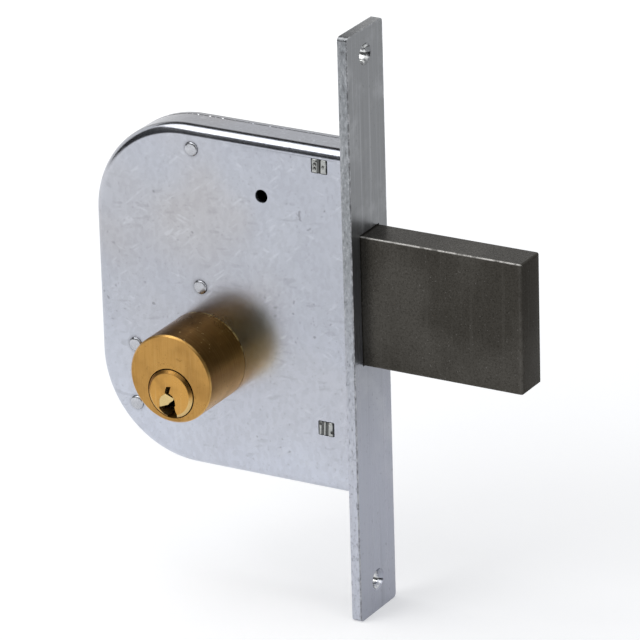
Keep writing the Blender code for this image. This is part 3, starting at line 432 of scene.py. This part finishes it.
print("helpers for meshes")
meshLook = {"weld": 0.002 * mm, "flatAngle": 0.5, "sharpAngle": 28.0, "bevelAngle": 35.0, "caseAngle": 40.0,
            "headAngle": 50.0, "tenonAngle": 75.0, "facesY": 0.9999, "sameWay": 0.7}


def smoothed(name, bm, angle):
    mesh = bpy.data.meshes.new(name)
    bmesh.ops.recalc_face_normals(bm, faces=bm.faces)
    bm.to_mesh(mesh)
    bm.free()
    for p in mesh.polygons:
        p.use_smooth = True
    mesh.set_sharp_from_angle(angle=math.radians(angle))
    return mesh


def placed(name, mesh):
    thing = bpy.data.objects.new(name, mesh)
    bpy.context.scene.collection.objects.link(thing)
    return thing


def settled(thing):
    done = bpy.data.meshes.new_from_object(thing.evaluated_get(bpy.context.evaluated_depsgraph_get()))
    thing.modifiers.clear()
    thing.data = done


# The flat front and back of a sheet keep one normal up to the bend, so that they reflect as flat metal does.
def evenFlats(mesh):
    k = meshLook
    flat = {v: p.normal.copy() for p in mesh.polygons if abs(p.normal.y) > k["facesY"] for v in p.vertices}
    normals = [n.vector.copy() for n in mesh.corner_normals]
    for p in mesh.polygons:
        for corner, v in zip(p.loop_indices, p.vertices):
            if v in flat and p.normal.dot(flat[v]) > k["sameWay"]:
                normals[corner] = flat[v]
    mesh.normals_split_custom_set(normals)


def piece(name, bm, material, body, stands, angle, even=False):
    mesh = smoothed(name, bm, angle)
    mesh.materials.append(material)
    thing = placed(name, mesh)
    if even:
        evenFlats(mesh)
    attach(thing, body)
    if stands:
        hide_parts(*stands)
    return thing


def dressed(node, material, bevel, segments, cuts):
    k = meshLook
    bm = bmesh.new()
    bm.from_mesh(frame["nodes"][node].data)
    bmesh.ops.remove_doubles(bm, verts=bm.verts, dist=k["weld"])
    bmesh.ops.dissolve_limit(bm, angle_limit=math.radians(k["flatAngle"]), verts=bm.verts, edges=bm.edges)
    for place, normal in cuts:
        cut = bmesh.ops.bisect_plane(bm, geom=bm.verts[:] + bm.edges[:] + bm.faces[:], plane_co=place,
                                     plane_no=normal, clear_outer=True)
        bmesh.ops.holes_fill(bm, edges=[g for g in cut["geom_cut"] if isinstance(g, bmesh.types.BMEdge)])
    thing = piece(node + "Look", bm, material, bodyOf[node], (node,), k["sharpAngle"])
    edge = thing.modifiers.new("edge", "BEVEL")
    edge.width, edge.segments, edge.limit_method = bevel, segments, "ANGLE"
    edge.angle_limit = math.radians(k["bevelAngle"])
    edge.use_clamp_overlap = True
    edge.harden_normals = True
    settled(thing)


# Points of a rounded rectangle, or of a circle, without doubled points, where the corner is as wide as the half.
def loopAt(x, y, z, halfW, halfH, corner, grow, steps):
    points = []
    for cx, cz, start in ((1, 1, 0), (-1, 1, 90), (-1, -1, 180), (1, -1, 270)):
        for k in range(steps + (halfW > corner)):
            a = math.radians(start + 90 * k / steps)
            points.append((x + cx * (halfW - corner) + (corner + grow) * math.cos(a), y,
                           z + cz * (halfH - corner) + (corner + grow) * math.sin(a)))
    return points


def bridge(bm, a, b, closed=True):
    n = len(a)
    for k in range(n if closed else n - 1):
        bm.faces.new((a[k], a[(k + 1) % n], b[(k + 1) % n], b[k]))


def closedEdges(bm, loop):
    return [bm.edges.get((a, b)) or bm.edges.new((a, b)) for a, b in zip(loop, loop[1:] + loop[:1])]


print("case")
caseLook = {"arcSteps": 44, "bendSteps": 10, "insideSteps": 4, "lipSteps": 3, "lip": 0.20 * mm,
            "lipPlain": 0.08 * mm, "bendPlain": 0.1 * mm, "bendCreaseShade": {0: 0.5, 1: 0.85, 2: 0.3},
            "holeRound": 0.12 * mm, "holeTurns": (0, 0.52, 1.05, math.pi / 2), "roundSteps": 10,
            "squareSteps": 3, "seamGap": 0.05 * mm, "tenonHole": (2.5 * mm, 2.1 * mm, 0.3 * mm)}
tenons = [(-11.4 * mm, 62.9 * mm), (-11.4 * mm, -15.1 * mm)]


def caseRing(inset, y):
    k, s = caseLook["arcSteps"], size
    r, left = s["corner"] - inset, s["back"] + s["corner"]
    points = [(s["open"], y, s["top"] - inset)]
    for start, z in ((90, s["top"] - s["corner"]), (180, s["bottom"] + s["corner"])):
        for j in range(k + 1):
            a = math.radians(start + 90 * j / k)
            points.append((left + r * math.cos(a), y, z + r * math.sin(a)))
    points.append((s["open"], y, s["bottom"] + inset))
    return points


# Each ring of the sheet's section is its inset, its y, how much of the bend it shows, and how dark it is
# painted: fully at the lip, a real dark seam, and partly, as painted shade, at the first rings of the bend next
# to the wall.
def sheetSection(edgeY, faceY, way):
    look = caseLook
    lip, bend, sheet = look["lip"], size["bend"], size["sheet"]
    inner = bend - sheet
    outside = []
    for j in range(look["lipSteps"] + 1):
        a = math.radians(90 * j / look["lipSteps"])
        outside.append((lip * (1 - math.sin(a)), edgeY + way * lip * (1 - math.cos(a)), 0, 1))
    outside += [(0, edgeY + way * (lip + look["lipPlain"]), 0, 0),
                (0, faceY - way * (bend + look["bendPlain"]), 0, 0)]
    for j in range(look["bendSteps"] + 1):
        share = j / look["bendSteps"]
        a = math.radians(90 * share)
        # Painted shade in the crease where the bend leaves the wall.
        dark = look["bendCreaseShade"].get(j, 0)
        outside.append((bend * (1 - math.cos(a)), faceY - way * bend * (1 - math.sin(a)),
                        0 if share == 1 else dark or 1, dark))
    inside = []
    for j in range(look["insideSteps"] + 1):
        a = math.radians(90 - 90 * j / look["insideSteps"])
        depth = sheet + inner * (1 - math.sin(a))
        inside.append((sheet + inner * (1 - math.cos(a)), faceY - way * depth, 0, 0))
    inside.append((sheet, edgeY, 0, 0))
    return outside, inside


def tray(name, node, edgeY, faceY, holes):
    look, way = caseLook, 1 if faceY > edgeY else -1
    bm = bmesh.new()
    bendMark, jointAndCreaseShadeMark = bm.verts.layers.float.new("bend"), bm.verts.layers.float.new("seam")
    outside, inside = sheetSection(edgeY, faceY, way)
    rings = []
    for inset, y, bent, dark in outside + inside:
        ring = [bm.verts.new(p) for p in caseRing(inset, y)]
        for v in ring:
            v[bendMark], v[jointAndCreaseShadeMark] = bent, dark
        rings.append(ring)
    turn = len(outside) - 1
    for j, (a, b) in enumerate(zip(rings, rings[1:] + rings[:1])):
        if j != turn:
            bridge(bm, a, b, closed=False)
    bm.faces.new([r[0] for r in rings] + [r[-1] for r in reversed(rings)])
    outerEdges, innerEdges = closedEdges(bm, rings[turn]), closedEdges(bm, rings[turn + 1])
    e = look["holeRound"]
    depths = [(e * (1 - math.sin(a)), e * (1 - math.cos(a))) for a in look["holeTurns"]]
    for x, z, halfW, halfH, corner in holes:
        steps = look["roundSteps"] if corner == halfW else look["squareSteps"]
        before = None
        for grow, deep in depths + [(0.0, size["sheet"])]:
            points = loopAt(x, faceY - way * deep, z, halfW, halfH, corner, grow, steps)
            loop = [bm.verts.new(p) for p in points]
            if before:
                bridge(bm, before, loop)
            else:
                outerEdges += closedEdges(bm, loop)
            before = loop
        innerEdges += closedEdges(bm, before)
    for edges in (outerEdges, innerEdges):
        bmesh.ops.triangle_fill(bm, use_beauty=True, use_dissolve=False, edges=edges)
    piece(name, bm, zinc, bodyOf[node], (node,), meshLook["caseAngle"], even=True)


def roundHole(place, radius):
    return (*place, radius, radius, radius)


stud = middle("idler_stud")
bothHoles = [roundHole(p, size["stakeHole"]) for p in postPlaces] + [roundHole(size["hole"], size["holeR"])]
bothHoles += [(*p, *caseLook["tenonHole"]) for p in tenons]
frontHoles = bothHoles + [roundHole((size["cylX"], size["plugZ"]), size["spigotHole"])]
frontHoles += [roundHole(middle(n), size["screwHole"]) for n in ("cylinder_screw_1", "cylinder_screw_2")]
backHoles = bothHoles + [roundHole(stud, size["stakeHole"])]
tray("caseFront", "case_front", size["seam"] - caseLook["seamGap"], size["front"], frontHoles)
tray("caseBack", "case_back", size["seam"] + caseLook["seamGap"], size["rear"], backHoles)

print("peened heads")
headLook = {"radius": 2.04 * mm, "proud": 0.62 * mm, "crown": 0.12 * mm, "flat": 0.66, "shoulder": 0.34,
            "shoulderTurns": (0.25, 0.5, 0.75, 1.0, 1.25, 1.5), "foot": (0.995, -0.1 * mm),
            "wobble": (0.02, 0.012), "wobbleFrom": 0.9, "sizeSpread": 0.03, "rings": 9, "around": 40,
            "dents": 5, "dentAt": (0.1, 0.75), "dentTurn": (0, 6.28), "dentWide": (0.22, 0.42),
            "dentDeep": (0.04, 0.09), "seed": 11}


def peenedHead():
    k = headLook
    rnd = random.Random(k["seed"])
    dents = [(rnd.uniform(*k["dentAt"]), rnd.uniform(*k["dentTurn"]), rnd.uniform(*k["dentWide"]),
              rnd.uniform(*k["dentDeep"]) * mm) for _ in range(k["dents"])]
    profile = [(j / k["rings"] * k["flat"], k["proud"] + k["crown"] * (1 - (j / k["rings"]) ** 2))
               for j in range(k["rings"] + 1)]
    profile += [(k["flat"] + k["shoulder"] * math.sin(a), k["proud"] - k["proud"] * (1 - math.cos(a)))
                for a in k["shoulderTurns"]]
    profile.append(k["foot"])
    slow, quick = k["wobble"]
    bm = bmesh.new()
    loops = []
    for share, out in profile:
        loop = []
        for j in range(k["around"]):
            a = 2 * math.pi * j / k["around"]
            x, z = share * math.cos(a), share * math.sin(a)
            drop = sum(d * math.exp(-((x - r * math.cos(t)) ** 2 + (z - r * math.sin(t)) ** 2) / w ** 2)
                       for r, t, w, d in dents)
            wave = 1 + (slow * math.sin(3 * a) + quick * math.sin(7 * a + 1)) * (share > k["wobbleFrom"])
            height = out - drop * (share < 0.99)
            loop.append(bm.verts.new((x * k["radius"] * wave, -height, z * k["radius"] * wave)))
            if share == 0:
                break
        if len(loops) == 1:
            for a, b in zip(loop, loop[1:] + loop[:1]):
                bm.faces.new((loops[0][0], a, b))
        elif loops:
            bridge(bm, loops[-1], loop)
        loops.append(loop)
    bm.faces.new(loops[-1])
    return placed("peenedHead", smoothed("peenedHead", bm, meshLook["headAngle"]))


# Puts a head on each point, turned and sized at random. Socket 2 and 3 of a random value are its float limits.
def spreadGroup():
    group = bpy.data.node_groups.new("peenedHeads", "GeometryNodeTree")
    kinds = {"Points": "NodeSocketGeometry", "Head": "NodeSocketObject", "Material": "NodeSocketMaterial",
             "Flip": "NodeSocketFloat", "Size Spread": "NodeSocketFloat", "Seed": "NodeSocketInt"}
    keys = {name: group.interface.new_socket(name, in_out="INPUT", socket_type=kind).identifier
            for name, kind in kinds.items()}
    group.interface.new_socket("Heads", in_out="OUTPUT", socket_type="NodeSocketGeometry")
    start, end, info, spread, angle, scale, bigger, smaller, turn, real, paint = (
        group.nodes.new(kind) for kind in (
            "NodeGroupInput", "NodeGroupOutput", "GeometryNodeObjectInfo", "GeometryNodeInstanceOnPoints",
            "FunctionNodeRandomValue", "FunctionNodeRandomValue", "ShaderNodeMath", "ShaderNodeMath",
            "ShaderNodeCombineXYZ", "GeometryNodeRealizeInstances", "GeometryNodeSetMaterial"))
    bigger.operation, smaller.operation = "ADD", "SUBTRACT"
    bigger.inputs[0].default_value = smaller.inputs[0].default_value = 1.0
    angle.inputs[3].default_value = 2 * math.pi
    for source, out, target, into in (
            (start, "Head", info, "Object"), (start, "Points", spread, "Points"),
            (info, "Geometry", spread, "Instance"), (start, "Size Spread", bigger, 1),
            (start, "Size Spread", smaller, 1), (smaller, 0, scale, 2), (bigger, 0, scale, 3),
            (start, "Seed", angle, "Seed"), (start, "Seed", scale, "Seed"), (start, "Flip", turn, "Z"),
            (angle, 1, turn, "Y"), (turn, 0, spread, "Rotation"), (scale, 1, spread, "Scale"),
            (spread, "Instances", real, "Geometry"), (real, "Geometry", paint, "Geometry"),
            (start, "Material", paint, "Material"), (paint, "Geometry", end, "Heads")):
        group.links.new(source.outputs[out], target.inputs[into])
    return group, keys


head, (headGroup, headKeys) = peenedHead(), spreadGroup()


def headsAt(name, places, y, flip):
    mesh = bpy.data.meshes.new(name)
    mesh.from_pydata([(x, y, z) for x, z in places], [], [])
    thing = placed(name, mesh)
    spread = thing.modifiers.new("heads", "NODES")
    spread.node_group = headGroup
    values = {"Head": head, "Material": stakeSteel, "Flip": flip, "Size Spread": headLook["sizeSpread"],
              "Seed": headLook["seed"]}
    for key, value in values.items():
        spread[headKeys[key]] = value
    settled(thing)
    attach(thing, bodyOf["case_front"])


headsAt("headsFront", postPlaces, size["front"], 0.0)
headsAt("headsBack", postPlaces + [stud], size["rear"], math.pi)
bpy.data.objects.remove(head)

print("tenon ends")
tenonLook = {"wide": 4.84 * mm, "high": 4.04 * mm, "proud": 0.34 * mm, "across": 46, "up": 38, "edge": 0.10,
             "edgeDrop": 0.26 * mm, "bulge": 0.025, "deepFrom": 0.03 * mm, "deepOver": 0.16 * mm,
             "foot": 0.6 * mm}


# Cuts are (place, half width, depth, lean) across the end, lumps (across, up, reach, lift), both on -1..1.
def tenonEnd(name, node, centre, faceY, way, cuts, lumps):
    k = tenonLook
    bm = bmesh.new()
    shade = bm.verts.layers.float.new("deep")
    grid = []
    for j in range(k["up"] + 1):
        row = []
        for i in range(k["across"] + 1):
            u, v = i / k["across"] * 2 - 1, j / k["up"] * 2 - 1
            rim = min(1 - abs(u), 1 - abs(v))
            out = k["proud"] - k["edgeDrop"] * max(0.0, 1 - rim / k["edge"]) ** 2
            for at, half, deep, lean in cuts:
                out -= deep * math.exp(-((u - at - lean * v) / half) ** 4)
            for lu, lv, reach, lift in lumps:
                out += lift * math.exp(-((u - lu) ** 2 + (v - lv) ** 2) / reach ** 2)
            bulge = 1 + k["bulge"] * math.sin(5 * v + centre[1] * 900) * abs(u)
            row.append(bm.verts.new((centre[0] + u * bulge * k["wide"] / 2, faceY + way * out,
                                     centre[1] + v * k["high"] / 2)))
            # Painted shade: the lower a point lies below the end's top, the darker it is painted; the sides
            # below are fully dark.
            row[-1][shade] = min(1.0, max(0.0, (k["proud"] - k["deepFrom"] - out) / k["deepOver"]))
        grid.append(row)
    for a, b in zip(grid, grid[1:]):
        bridge(bm, a, b, closed=False)
    border = grid[0] + [r[-1] for r in grid[1:-1]] + grid[-1][::-1] + [r[0] for r in grid[-2:0:-1]]
    low = [bm.verts.new((v.co.x, faceY - way * k["foot"], v.co.z)) for v in border]
    for v in low:
        v[shade] = 1.0
    bridge(bm, border, low)
    bm.faces.new(low)
    piece(name, bm, tenonSteel, bodyOf[node], (), meshLook["tenonAngle"])


upperCuts = [(0.02, 0.24, 0.34 * mm, 0.04), (0.06, 0.05, 0.30 * mm, 0.0), (-0.98, 0.14, 0.25 * mm, 0.0)]
upperLumps = [(-0.50, 0.30, 0.17, -0.42 * mm), (-0.52, -0.30, 0.16, -0.42 * mm),
              (-0.30, 0.75, 0.13, -0.25 * mm), (-0.62, 0.62, 0.18, 0.12 * mm), (-0.60, 0.0, 0.14, 0.12 * mm),
              (-0.66, -0.62, 0.18, 0.10 * mm), (0.55, 0.05, 0.13, -0.38 * mm),
              (0.62, 0.55, 0.30, 0.08 * mm), (0.60, -0.50, 0.28, 0.06 * mm)]
lowerCuts = [(-0.42, 0.15, 0.42 * mm, 0.05), (0.14, 0.17, 0.46 * mm, 0.04), (-0.98, 0.13, 0.30 * mm, 0.0),
             (1.0, 0.12, 0.35 * mm, 0.0)]
lowerLumps = [(-0.72, 0.72, 0.20, -0.30 * mm), (-0.74, -0.10, 0.22, 0.08 * mm), (0.58, 0.60, 0.22, 0.16 * mm),
              (0.78, -0.35, 0.18, -0.35 * mm), (0.50, -0.05, 0.20, 0.05 * mm)]
for name, node, centre, cuts, lumps in (("tenonUpper", "upper_bracket", tenons[0], upperCuts, upperLumps),
                                        ("tenonLower", "lower_bracket", tenons[1], lowerCuts, lowerLumps)):
    tenonEnd(name + "Front", node, centre, size["front"], -1, cuts, lumps)
    tenonEnd(name + "Back", node, centre, size["rear"], 1, cuts, lumps)

print("carried pieces")
# Material, width of the rounded edges and their steps, for each solid that gets a finer mesh.
plan = {"faceplate": (face, 0.28 * mm, 3), "bolt": (bolt, 0.22 * mm, 3), "cylinder_body": (brass, 0.10 * mm, 3),
        "plug": (plug, 0.06 * mm, 2), "upper_bracket": (stakeSteel, 0.1 * mm, 2),
        "lower_bracket": (stakeSteel, 0.1 * mm, 2), "idler_gear": (gearSteel, 0.08 * mm, 2),
        "plug_pinion": (gearSteel, 0.05 * mm, 2), "cylinder_screw_1": (stakeSteel, 0.08 * mm, 2),
        "cylinder_screw_2": (stakeSteel, 0.08 * mm, 2), "brake_spring": (springSteel, 0.08 * mm, 2)}
cutLook = {"bracketReach": 6.7 * mm, "boltRound": 0.9 * mm, "boltTurns": (22.5, 45.0, 67.5)}


def roundedEnd(node, radius):
    low, high = boxOf[node]
    for a in cutLook["boltTurns"]:
        c, s = math.cos(math.radians(a)), math.sin(math.radians(a))
        for way, z in ((1, high[2]), (-1, low[2])):
            yield (high[0] - radius * (1 - c), 0, z - way * radius * (1 - s)), (c, 0, way * s)


cutsFor = {"bolt": list(roundedEnd("bolt", cutLook["boltRound"]))}
for node in ("upper_bracket", "lower_bracket"):
    cutsFor[node] = [((0, way * cutLook["bracketReach"], 0), (0, way, 0)) for way in (-1, 1)]
for node, (material, bevel, segments) in plan.items():
    dressed(node, material, bevel, segments, cutsFor.get(node, ()))
for node, thing in frame["nodes"].items():
    if node in plan or node.startswith("case"):
        continue
    material = (pinBrass if node.startswith("key_pin") else driverSteel if node.startswith("driver")
                else springSteel if node.startswith("pin_spring") else stakeSteel)
    thing.data.materials.clear()
    thing.data.materials.append(material)

print("camera")
# Focal length in pixels of the photograph, angles in degrees.
shot = {"focal": 5921.231, "azimuth": 29.927, "elevation": 21.987, "roll": -1.643, "distance": 1.645504,
        "target": (-0.016469, 0.0, 0.014140), "sensor": 36.0, "pixels": 640.0, "far": 20.0}
a, e, r = (math.radians(shot[k]) for k in ("azimuth", "elevation", "roll"))
back = Vector((math.sin(a) * math.cos(e), -math.cos(a) * math.cos(e), math.sin(e)))
right = (-back).cross(Vector((0, 0, 1))).normalized()
up = right.cross(-back)
right, up = right * math.cos(r) + up * math.sin(r), up * math.cos(r) - right * math.sin(r)
camera = placed("camera", bpy.data.cameras.new("camera"))
camera.data.sensor_width = shot["sensor"]
camera.data.lens = shot["focal"] * shot["sensor"] / shot["pixels"]
camera.data.clip_end = shot["far"]
turn = Matrix((right, up, back)).transposed()
camera.matrix_world = Matrix.Translation(Vector(shot["target"]) + back * shot["distance"]) @ turn.to_4x4()
bpy.context.scene.camera = camera

print("studio")
# The surround and the lid are dark cards that only the metal's reflections see. The surround's lows are its
# lower edge's heights by azimuth.
studio = {"ambient": (0.42, 0.43, 0.45), "floor": (0.80, 0.80, 0.80), "floorReach": 4, "floorGap": 0.02 * mm,
          "floorGlow": (0.38, 0.70), "floorFade": (0.15, 0.8), "cardRoughness": 0.9, "aim": (-0.03, 0, 0.01),
          "key": {"place": (-0.50, -0.80, 0.85), "wide": 0.6, "long": 0.6, "power": 3.5},
          "top": {"place": (-0.46, -0.12, 0.95), "wide": 0.6, "long": 1.0, "power": 3.6},
          "side": {"place": (1.0, -0.35, 0.45), "wide": 0.5, "long": 0.5, "power": 1.1},
          "surround": {"radius": 0.62, "high": 0.58, "steps": 40,
                       "lows": ((-88, 0.05), (-20, 0.05), (-14, 0.17), (8, 0.17), (14, -0.065), (70, -0.065))},
          "lid": {"x": (-1.3, 0.1), "y": (0.26, 1.15), "height": 0.9}, "unlit": (0.02, 0.02, 0.02)}


def paleForSight(tree):
    path = tree.nodes.new("ShaderNodeLightPath")
    seen = path.outputs["Is Camera Ray"]
    for name in ("Is Glossy Ray", "Is Transmission Ray"):
        both = tree.nodes.new("ShaderNodeMath")
        both.operation = "MAXIMUM"
        tree.links.new(seen, both.inputs[0])
        tree.links.new(path.outputs[name], both.inputs[1])
        seen = both.outputs[0]
    return seen


def seenAs(tree, plain, seen, socket):
    mixer = tree.nodes.new("ShaderNodeMix")
    mixer.data_type = "RGBA"
    tree.links.new(paleForSight(tree), mixer.inputs[0])
    mixer.inputs[6].default_value = (*plain, 1)
    if isinstance(seen, tuple):
        mixer.inputs[7].default_value = (*seen, 1)
    else:
        tree.links.new(seen, mixer.inputs[7])
    tree.links.new(mixer.outputs[2], socket)


world = bpy.data.worlds.new("studio")
bpy.context.scene.world = world
world.use_nodes = True
background = next(n for n in world.node_tree.nodes if n.type == "BACKGROUND")
seenAs(world.node_tree, studio["ambient"], (1, 1, 1), background.inputs["Color"])


def fadingGlow(tree, shader, glow):
    shader.inputs["Emission Strength"].default_value = 1.0
    spot, away, fade = (tree.nodes.new(k) for k in ("ShaderNodeTexCoord", "ShaderNodeVectorMath",
                                                    "ShaderNodeMapRange"))
    away.operation = "LENGTH"
    tree.links.new(spot.outputs["Object"], away.inputs[0])
    tree.links.new(away.outputs["Value"], fade.inputs["Value"])
    for key, value in zip(("From Min", "From Max", "To Min", "To Max"), (*studio["floorFade"], *glow)):
        fade.inputs[key].default_value = value
    seenAs(tree, (0, 0, 0), fade.outputs[0], shader.inputs["Emission Color"])


def plainCard(name, corners, faces, colour, glow=None):
    mesh = bpy.data.meshes.new(name)
    mesh.from_pydata(corners, [], faces)
    thing = placed(name, mesh)
    mat = bpy.data.materials.new(name)
    mat.use_nodes = True
    shader = next(n for n in mat.node_tree.nodes if n.type == "BSDF_PRINCIPLED")
    shader.inputs["Base Color"].default_value = (*colour, 1)
    shader.inputs["Roughness"].default_value = studio["cardRoughness"]
    shader.inputs["Specular IOR Level"].default_value = 0.0
    if glow:
        fadingGlow(mat.node_tree, shader, glow)
    mesh.materials.append(mat)
    return thing


low, wide = boxOf["faceplate"][0][2] - studio["floorGap"], studio["floorReach"]
plainCard("floor", [(-wide, -wide, low), (wide, -wide, low), (wide, wide, low), (-wide, wide, low)],
          [(0, 1, 2, 3)], studio["floor"], studio["floorGlow"])
wall, lid = studio["surround"], studio["lid"]
first, last = wall["lows"][0][0], wall["lows"][-1][0]


def lowEdge(angle):
    for (a0, z0), (a1, z1) in zip(wall["lows"], wall["lows"][1:]):
        if angle <= a1:
            return z0 + (z1 - z0) * (angle - a0) / (a1 - a0)


spots = []
for k in range(wall["steps"] + 1):
    angle = first + (last - first) * k / wall["steps"]
    x, y = wall["radius"] * math.sin(math.radians(angle)), -wall["radius"] * math.cos(math.radians(angle))
    spots += [(x, y, lowEdge(angle)), (x, y, wall["high"])]
strips = [(2 * k, 2 * k + 2, 2 * k + 3, 2 * k + 1) for k in range(wall["steps"])]
(x0, x1), (y0, y1), high = lid["x"], lid["y"], lid["height"]
lidSpots = [(x0, y0, high), (x1, y0, high), (x1, y1, high), (x0, y1, high)]
for card in (plainCard("surround", spots, strips, studio["unlit"]),
             plainCard("lid", lidSpots, [(0, 3, 2, 1)], studio["unlit"])):
    card.visible_camera = card.visible_shadow = card.visible_diffuse = False
for name in ("key", "top", "side"):
    lamp = studio[name]
    data = bpy.data.lights.new(name, "AREA")
    data.shape, data.size, data.size_y, data.energy = "RECTANGLE", lamp["wide"], lamp["long"], lamp["power"]
    thing = placed(name, data)
    thing.location = lamp["place"]
    aim = Vector(studio["aim"]) - Vector(lamp["place"])
    thing.rotation_euler = aim.to_track_quat("-Z", "Y").to_euler()

bpy.context.scene.view_settings.view_transform = "Standard"
